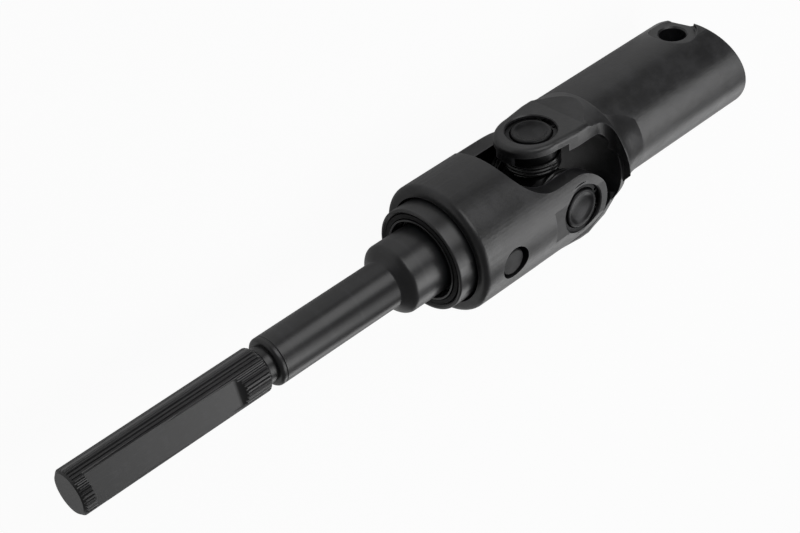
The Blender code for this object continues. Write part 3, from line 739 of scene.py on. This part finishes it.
def joint_seal():
    """Ribbed rubber seal between the cross and the open end of a cap."""
    inner = CAP_RADIUS + FIT
    outline = [(SEAL_START, ARM_RADIUS + FIT), (SEAL_START, SEAL_START - 0.4 * MM)]
    outline += arc((SEAL_START + 0.75 * MM, SEAL_RADIUS - SEAL_LIP), SEAL_LIP, 170, 30, 6)
    for rib in range(2):
        middle = SEAL_START + (SEAL_RIB_START + SEAL_RIB_STEP * rib) * MM
        outline.append((middle - 0.65 * MM, SEAL_RADIUS - 0.4 * MM))
        outline += arc((middle, SEAL_RADIUS - SEAL_RIB), SEAL_RIB, 150, 30, 5)
    outline += [(SEAL_END, SEAL_RADIUS - 0.35 * MM), (SEAL_END, inner)]
    outline += [(ARM_LENGTH, inner), (ARM_LENGTH, ARM_RADIUS + FIT)]
    return turned(outline, FINE)


def cross_arms():
    """One pair of arms, each with the shoulder that carries the seal and a ground trunnion."""
    edge = 0.4 * MM
    half = [(0.0, ARM_RADIUS)]
    half += [(ARM_LENGTH - edge, ARM_RADIUS), (ARM_LENGTH, ARM_RADIUS - edge)]
    half += [(ARM_LENGTH, TRUNNION_RADIUS), (TRUNNION_END - edge, TRUNNION_RADIUS)]
    half += [(TRUNNION_END, TRUNNION_RADIUS - edge), (TRUNNION_END, 0.0)]
    return turned(both_ways(half), PLAIN)


def arm_roots():
    """The swollen roots of one pair of arms."""
    half = [(CORE_HALF - 0.4 * MM, ARM_RADIUS + 1.2 * MM), (CORE_HALF + 0.8 * MM, ARM_RADIUS + 0.5 * MM)]
    half += [(SEAL_START - FIT, ARM_RADIUS + 0.2 * MM), (SEAL_START - FIT, 0.0)]
    return turned(both_ways(half), PLAIN)


def cross_form():
    """Forged cross: four arms that swell out of a rounded middle."""
    thick = CORE_HALF
    waist = 0.55 * CROSS_CORE
    swell = [(-thick, 0.0), (-thick, waist)]
    swell += arc((-thick + CROSS_ROUND, CROSS_CORE - CROSS_ROUND), CROSS_ROUND, 170, 90, 6)
    swell += arc((thick - CROSS_ROUND, CROSS_CORE - CROSS_ROUND), CROSS_ROUND, 90, 10, 6)
    swell += [(thick, waist), (thick, 0.0)]
    bm = turned(swell, PLAIN)
    for form in (arm_roots, cross_arms):
        for way in ((0.0, 1.0, 0.0), (0.0, 0.0, 1.0)):
            bm = carved(bm, moved(form(), outward(way)), "UNION")
    return moved(bm, Matrix.Translation((JOINT_X, 0.0, 0.0)))


# Shaft and coupling

def flat_cutter():
    """Side view of the milled flat: a wall near the tip, a slanted floor and a round run-out."""
    run_out = (FLAT_END - CUTTER_RADIUS, FLAT_HIGH + CUTTER_RADIUS)
    outline = [(FLAT_START - 0.3 * MM, FLAT_REACH), (FLAT_START, FLAT_LOW)]
    outline += arc(run_out, CUTTER_RADIUS, 270, 335, 10)
    outline.append((FLAT_END + 0.4 * MM, FLAT_REACH))
    return extruded(outline, -FLAT_REACH, FLAT_REACH, "y")


def serrated_bar():
    """The toothed end with chamfered tip, tapered run-out and the milled flat."""
    bm = toothed(BAR_RADIUS - TOOTH_DEPTH, BAR_RADIUS, TOOTH_COUNT, 0.0, BAR_LENGTH)
    outside = BAR_RADIUS + 0.02 * MM
    envelope = [(0.0, 0.0), (0.0, BAR_RADIUS - BAR_CHAMFER), (BAR_CHAMFER, outside)]
    envelope += [(BAR_LENGTH - BAR_TAPER, outside), (BAR_LENGTH, NECK_RADIUS), (BAR_LENGTH, 0.0)]
    bm = carved(bm, turned(envelope, FINE), "INTERSECT")
    return carved(bm, moved(flat_cutter(), Matrix.Rotation(math.radians(FLAT_TURN), 4, "X")))


def plain_outline():
    """Neck, shoulder, plain shaft, forged shoulder with its collar, and head."""
    start = BAR_LENGTH - NECK_OVERLAP
    shoulder = (NECK_END + SHOULDER_ROUND, SHAFT_RADIUS - SHOULDER_ROUND)
    outline = [(start, 0.0), (start, NECK_RADIUS), (NECK_END, NECK_RADIUS)]
    outline += arc(shoulder, SHOULDER_ROUND, 180, 90, 7)
    line = NECK_END + LINE_X
    outline += [(line - LINE_DEPTH, SHAFT_RADIUS), (line, SHAFT_RADIUS - LINE_DEPTH)]
    outline.append((line + LINE_DEPTH, SHAFT_RADIUS))
    length = COLLAR_END - COLLAR_START
    rise = COLLAR_RADIUS - SHAFT_RADIUS
    for step in range(COLLAR_STEPS + 1):
        share = step / COLLAR_STEPS
        bulge = 0.5 - 0.5 * math.cos(math.pi * share ** 0.8)
        outline.append((COLLAR_START + share * length, SHAFT_RADIUS + bulge * rise))
    outline += [(HEAD_START, COLLAR_RADIUS), (HEAD_START, HEAD_RADIUS)]
    outline += [(SLEEVE_END - HEAD_CHAMFER, HEAD_RADIUS), (SLEEVE_END, HEAD_RADIUS - HEAD_CHAMFER)]
    outline.append((SLEEVE_END, 0.0))
    return outline


def shaft_form():
    """The whole shaft, from its serrated tip to the head in the coupling."""
    bm = carved(turned(plain_outline(), FINE), serrated_bar(), "UNION")
    return carved(bm, pin_drill(PIN_RADIUS + FIT))


def sleeve(bore, radius, start, end, edge):
    """A plain sleeve whose mouth edges are rounded."""
    outline = [(start, bore + edge), (start, radius - edge)]
    outline += arc((start + edge, radius - edge), edge, 180, 90, 5)[1:]
    outline += [(end, radius), (end, bore), (start + edge, bore)]
    return turned(outline, FINE)


def outer_sleeve():
    """Outer sleeve of the coupling, open for the pin's play."""
    bm = sleeve(SLEEVE_BORE, SLEEVE_RADIUS, SLEEVE_START, SLEEVE_END, SLEEVE_EDGE)
    return carved(bm, pin_drill(WINDOW_RADIUS))


def inner_sleeve():
    """Inner sleeve of the coupling, on the shaft's head."""
    bm = sleeve(INNER_BORE, INNER_BORE + INNER_WALL, SLEEVE_START, SLEEVE_END, INNER_EDGE)
    return carved(bm, pin_drill(PIN_RADIUS + FIT))


def limit_pin():
    """Cross pin through shaft, sleeves and cup, with chamfered ends."""
    edge = 0.4 * MM
    half = [(PIN_REACH - edge, PIN_RADIUS), (PIN_REACH, PIN_RADIUS - edge), (PIN_REACH, 0.0)]
    return moved(turned(both_ways(half), SMALL), across_shaft(PIN_X))


# Finishes

def forged_coat():
    """Satin black coating on a forging: a fine grain, faint mottling, and edges that are lighter from
    wear and from a painted highlight on their rounding.
    """
    finish = Finish("forged_black_coat")
    grain = finish.noise(1500.0, 4.0, 0.6)
    skin = finish.noise(340.0, 3.0, 0.5)
    cloud = finish.noise(130.0, 5.0, 0.65)
    # Lighter edges: partly wear, partly a painted highlight standing in for the light that rounded edges
    # catch.
    edge = finish.edges(0.0007).ramp(0.015, 0.16) * (0.35 + 1.1 * finish.noise(420.0, 3.0))
    tone_wear_and_highlight = (cloud.ramp(0.42, 0.7) * 0.3 + edge).smaller(1.0)
    colour = finish.colours(tone_wear_and_highlight, (0.0115, 0.0115, 0.0125), (0.06, 0.06, 0.064))
    rough = 0.2 + 0.24 * cloud + 0.08 * grain
    normal = finish.bump(skin * 0.7 + grain * 0.35, 0.0001)
    return finish.wear(Base_Color=colour, Roughness=rough, Normal=normal, Metallic=0.0,
                       Specular_IOR_Level=0.75)


def turned_coat():
    """Satin black coating on turned steel, with lathe lines round the shaft's axis."""
    finish = Finish("turned_black_coat")
    grain = finish.noise(1900.0, 4.0, 0.6)
    parts = finish.node("SeparateXYZ", None, {0: finish.place})
    radius = (parts.value("Y") ** 2.0 + parts.value("Z") ** 2.0) ** 0.5
    rings = finish.node("CombineXYZ", None, {"X": radius * 7000.0, "Y": parts.value("X") * 300.0})
    lines = finish.node("TexNoise", None, {
        "Vector": rings.out(), "Scale": 1.0, "Detail": 2.0}).value("Fac")
    cloud = finish.noise(70.0, 4.0, 0.6)
    # Lighter edges: partly wear, partly a painted highlight standing in for the light that rounded edges
    # catch.
    edge = finish.edges(0.0004).ramp(0.02, 0.3) * (0.3 + 0.8 * finish.noise(500.0, 3.0))
    tone_wear_and_highlight = (cloud.ramp(0.4, 0.75) * 0.25 + lines.ramp(0.5, 0.75) * 0.2 + edge * 0.8).smaller(1.0)
    colour = finish.colours(tone_wear_and_highlight, (0.0125, 0.0125, 0.0135), (0.06, 0.06, 0.064))
    rough = 0.22 + 0.14 * cloud + 0.08 * grain
    normal = finish.bump(lines * 0.6 + grain * 0.3, 0.00003)
    return finish.wear(Base_Color=colour, Roughness=rough, Normal=normal, Metallic=0.0,
                       Specular_IOR_Level=0.8)


def bearing_black():
    """Blackened bearing steel of the caps, the cross and the limit pin."""
    finish = Finish("bearing_black")
    cloud = finish.noise(140.0, 3.0, 0.5)
    grain = finish.noise(2200.0, 3.0, 0.6)
    # Lighter edges: partly wear, partly a painted highlight standing in for the light that rounded edges
    # catch.
    edge = finish.edges(0.0004).ramp(0.02, 0.3)
    colour = finish.colours((cloud.ramp(0.45, 0.7) * 0.5 + edge * 0.7).smaller(1.0),
                            (0.014, 0.014, 0.015), (0.05, 0.05, 0.052))
    rough = 0.26 + 0.16 * cloud
    normal = finish.bump(grain, 0.00002)
    return finish.wear(Base_Color=colour, Roughness=rough, Normal=normal, Metallic=0.55)


def spring_black():
    """Black spring steel of the snap rings."""
    finish = Finish("spring_black")
    grain = finish.noise(900.0, 3.0, 0.5)
    # Lighter edges: partly wear, partly a painted highlight standing in for the light that rounded edges
    # catch.
    edge = finish.edges(0.0003).ramp(0.02, 0.3)
    colour = finish.colours((grain.ramp(0.4, 0.8) * 0.4 + edge * 0.8).smaller(1.0),
                            (0.014, 0.014, 0.015), (0.07, 0.07, 0.072))
    rough = 0.3 + 0.15 * grain
    return finish.wear(Base_Color=colour, Roughness=rough, Metallic=0.6,
                       Normal=finish.bump(grain, 0.00002))


def bright_steel():
    """Ground steel of the needles."""
    finish = Finish("ground_steel")
    grain = finish.noise(1200.0, 3.0, 0.5)
    colour = finish.colours(grain, (0.42, 0.42, 0.43), (0.56, 0.56, 0.57))
    return finish.wear(Base_Color=colour, Roughness=0.18 + 0.12 * grain, Metallic=1.0,
                       Normal=finish.bump(grain, 0.00001))


def greased_seal():
    """Black seal rubber with a film of grease."""
    finish = Finish("greased_seal")
    cloud = finish.noise(260.0, 4.0, 0.6)
    grain = finish.noise(1500.0, 3.0, 0.5)
    colour = finish.colours(cloud.ramp(0.4, 0.75), (0.008, 0.008, 0.0085), (0.02, 0.02, 0.021))
    rough = 0.16 + 0.3 * cloud.ramp(0.42, 0.68)
    normal = finish.bump(cloud * 0.8 + grain * 0.2, 0.0001)
    return finish.wear(Base_Color=colour, Roughness=rough, Normal=normal)


def damper_rubber():
    """Matt vulcanised rubber between the two sleeves."""
    finish = Finish("damper_rubber")
    cloud = finish.noise(200.0, 3.0, 0.5)
    grain = finish.noise(1800.0, 3.0, 0.6)
    colour = finish.colours(cloud, (0.010, 0.010, 0.0105), (0.022, 0.022, 0.023))
    return finish.wear(Base_Color=colour, Roughness=0.62 + 0.2 * grain,
                       Normal=finish.bump(cloud * 0.5 + grain * 0.5, 0.00008))


def thrust_plastic():
    """Moulded pads at the trunnions' ends."""
    finish = Finish("thrust_plastic")
    grain = finish.noise(1300.0, 3.0, 0.5)
    colour = finish.colours(grain, (0.018, 0.018, 0.019), (0.032, 0.032, 0.033))
    return finish.wear(Base_Color=colour, Roughness=0.4 + 0.15 * grain,
                       Normal=finish.bump(grain, 0.00003))


def dress(names, material):
    """Give CAD nodes their finish."""
    for name in names:
        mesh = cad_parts[name].data
        mesh.materials.clear()
        mesh.materials.append(material)


def add_light(name, place, target, size, power):
    """A soft rectangular light that faces a point on the part."""
    lamp = bpy.data.lights.new(name, "AREA")
    lamp.shape = "RECTANGLE"
    lamp.size, lamp.size_y = size
    lamp.energy = power
    holder = bpy.data.objects.new(name, lamp)
    bpy.context.scene.collection.objects.link(holder)
    holder.location = place
    holder.rotation_mode = "QUATERNION"
    holder.rotation_quaternion = (Vector(target) - Vector(place)).to_track_quat("-Z", "Y")


def make_camera():
    """The photograph's viewpoint, solved from the part's circles and edges."""
    data = bpy.data.cameras.new("photo_view")
    data.lens = 80.0
    data.sensor_width = 36.0
    data.clip_start = 0.01
    data.clip_end = 10.0
    camera = bpy.data.objects.new("photo_view", data)
    bpy.context.scene.collection.objects.link(camera)
    right = Vector((0.7149, -0.0877, 0.6937)).normalized()
    back = -Vector((0.51403, -0.60609, -0.60696)).normalized()
    up = back.cross(right).normalized()
    right = up.cross(back)
    turn = Matrix((right, up, back)).transposed()
    camera.matrix_world = Matrix.Translation((-0.1458, 0.3146, 0.3126)) @ turn.to_4x4()
    bpy.context.scene.camera = camera


def make_floor(height):
    """A pale floor that shows white to the camera and keeps a soft shadow."""
    bm = bmesh.new()
    bmesh.ops.create_grid(bm, x_segments=1, y_segments=1, size=4.0)
    bmesh.ops.translate(bm, verts=bm.verts, vec=(0.1, 0.0, height))
    mesh = bpy.data.meshes.new("floor")
    bm.to_mesh(mesh)
    bm.free()
    floor = bpy.data.objects.new("floor", mesh)
    bpy.context.scene.collection.objects.link(floor)
    finish = Finish("pale_floor")
    finish.wear(Base_Color=(0.8, 0.8, 0.8, 1.0), Roughness=0.9, Specular_IOR_Level=0.1)
    path = finish.node("LightPath")
    seen = path.value("Is Camera Ray") * 0.95 + path.value("Is Glossy Ray") * 0.1
    seen = seen + path.value("Is Transmission Ray") * 0.1
    glow = finish.node("Emission", None, {"Color": (1.0, 1.0, 1.0, 1.0), "Strength": 1.0}).out()
    mixed = finish.node("MixShader", None, {
        0: seen.smaller(1.0), 1: finish.shader.outputs[0], 2: glow})
    output = finish.tree.nodes["Material Output"]
    finish.tree.links.new(mixed.out(), output.inputs["Surface"])
    mesh.materials.append(finish.material)


def make_world():
    """Even white surroundings, dim enough for black finishes."""
    world = bpy.data.worlds.new("studio")
    world.use_nodes = True
    ground = world.node_tree.nodes["Background"]
    ground.inputs["Color"].default_value = (1.0, 1.0, 1.0, 1.0)
    ground.inputs["Strength"].default_value = 0.13
    bpy.context.scene.world = world


PIN_WAYS = (("hub", "1", (0.0, 1.0, 0.0)), ("hub", "2", (0.0, -1.0, 0.0)),
            ("cup", "1", (0.0, 0.0, 1.0)), ("cup", "2", (0.0, 0.0, -1.0)))

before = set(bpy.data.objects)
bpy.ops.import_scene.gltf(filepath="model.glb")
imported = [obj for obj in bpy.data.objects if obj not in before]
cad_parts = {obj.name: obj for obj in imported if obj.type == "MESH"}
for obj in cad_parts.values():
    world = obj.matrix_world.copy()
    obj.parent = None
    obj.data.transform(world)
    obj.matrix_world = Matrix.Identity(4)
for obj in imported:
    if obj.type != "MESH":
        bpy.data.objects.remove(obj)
cad_low, cad_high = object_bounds()

forged = forged_coat()
coated = turned_coat()
bearing = bearing_black()
spring = spring_black()
seal = greased_seal()

dress(["hub_yoke", "cup_yoke"], forged)
dress(["shaft", "outer_sleeve", "inner_sleeve", "limit_pin"], coated)
dress(["cross", "hub_cap_1", "hub_cap_2", "cup_cap_1", "cup_cap_2"], bearing)
dress(["hub_snap_ring_1", "hub_snap_ring_2", "cup_snap_ring_1", "cup_snap_ring_2"], spring)
dress(["hub_needles_1", "hub_needles_2", "cup_needles_1", "cup_needles_2"], bright_steel())
dress(["hub_seal_1", "hub_seal_2", "cup_seal_1", "cup_seal_2"], seal)
dress(["rubber_bush"], damper_rubber())
dress(["hub_thrust_pad_1", "hub_thrust_pad_2", "cup_thrust_pad_1", "cup_thrust_pad_2"], thrust_plastic())

add_piece("hub_forging", hub_forging(), forged, "hub", "coated_steel", "hub_yoke")
add_piece("cup_forging", cup_forging(), forged, "cup", "coated_steel", "cup_yoke")
add_piece("cross_forging", cross_form(), bearing, "cross", "black_steel", "cross")
cap_form = bearing_cap()
ring_form = snap_ring()
seal_form = joint_seal()
for owner, number, way in PIN_WAYS:
    place = at_joint(way)
    end = "_" + number
    add_piece(owner + "_bearing_cap" + end, moved(cap_form.copy(), place), bearing, owner,
              "black_steel", owner + "_cap" + end)
    add_piece(owner + "_retaining_ring" + end, moved(ring_form.copy(), place), spring, owner,
              "spring_steel", owner + "_snap_ring" + end)
    add_piece(owner + "_ribbed_seal" + end, moved(seal_form.copy(), place), seal, "cross",
              "seal_rubber", owner + "_seal" + end)
for form in (cap_form, ring_form, seal_form):
    form.free()
add_piece("serrated_shaft", shaft_form(), coated, "shaft", "shaft_steel", "shaft")
add_piece("coupling_outer_sleeve", outer_sleeve(), coated, "cup", "sleeve_steel", "outer_sleeve")
add_piece("coupling_inner_sleeve", inner_sleeve(), coated, "shaft", "sleeve_steel", "inner_sleeve")
add_piece("cross_limit_pin", limit_pin(), bearing, "shaft", "black_steel", "limit_pin")

make_camera()
make_world()
make_floor(cad_low.z - FLOOR_GAP)
add_light("key", (0.22, 0.36, 0.26), PART_MIDDLE, (0.35, 0.3), 0.5)
add_light("end_light", (0.48, -0.09, 0.42), (0.2, 0.0, 0.0), (0.42, 0.3), 0.85)
add_light("side", (0.55, -0.7, 0.16), (0.18, 0.0, 0.0), (0.7, 0.3), 1.1)
add_light("top", (0.22, -0.12, 0.38), (0.05, 0.0, 0.0), (0.3, 0.25), 0.22)
bpy.context.scene.view_settings.view_transform = "Standard"
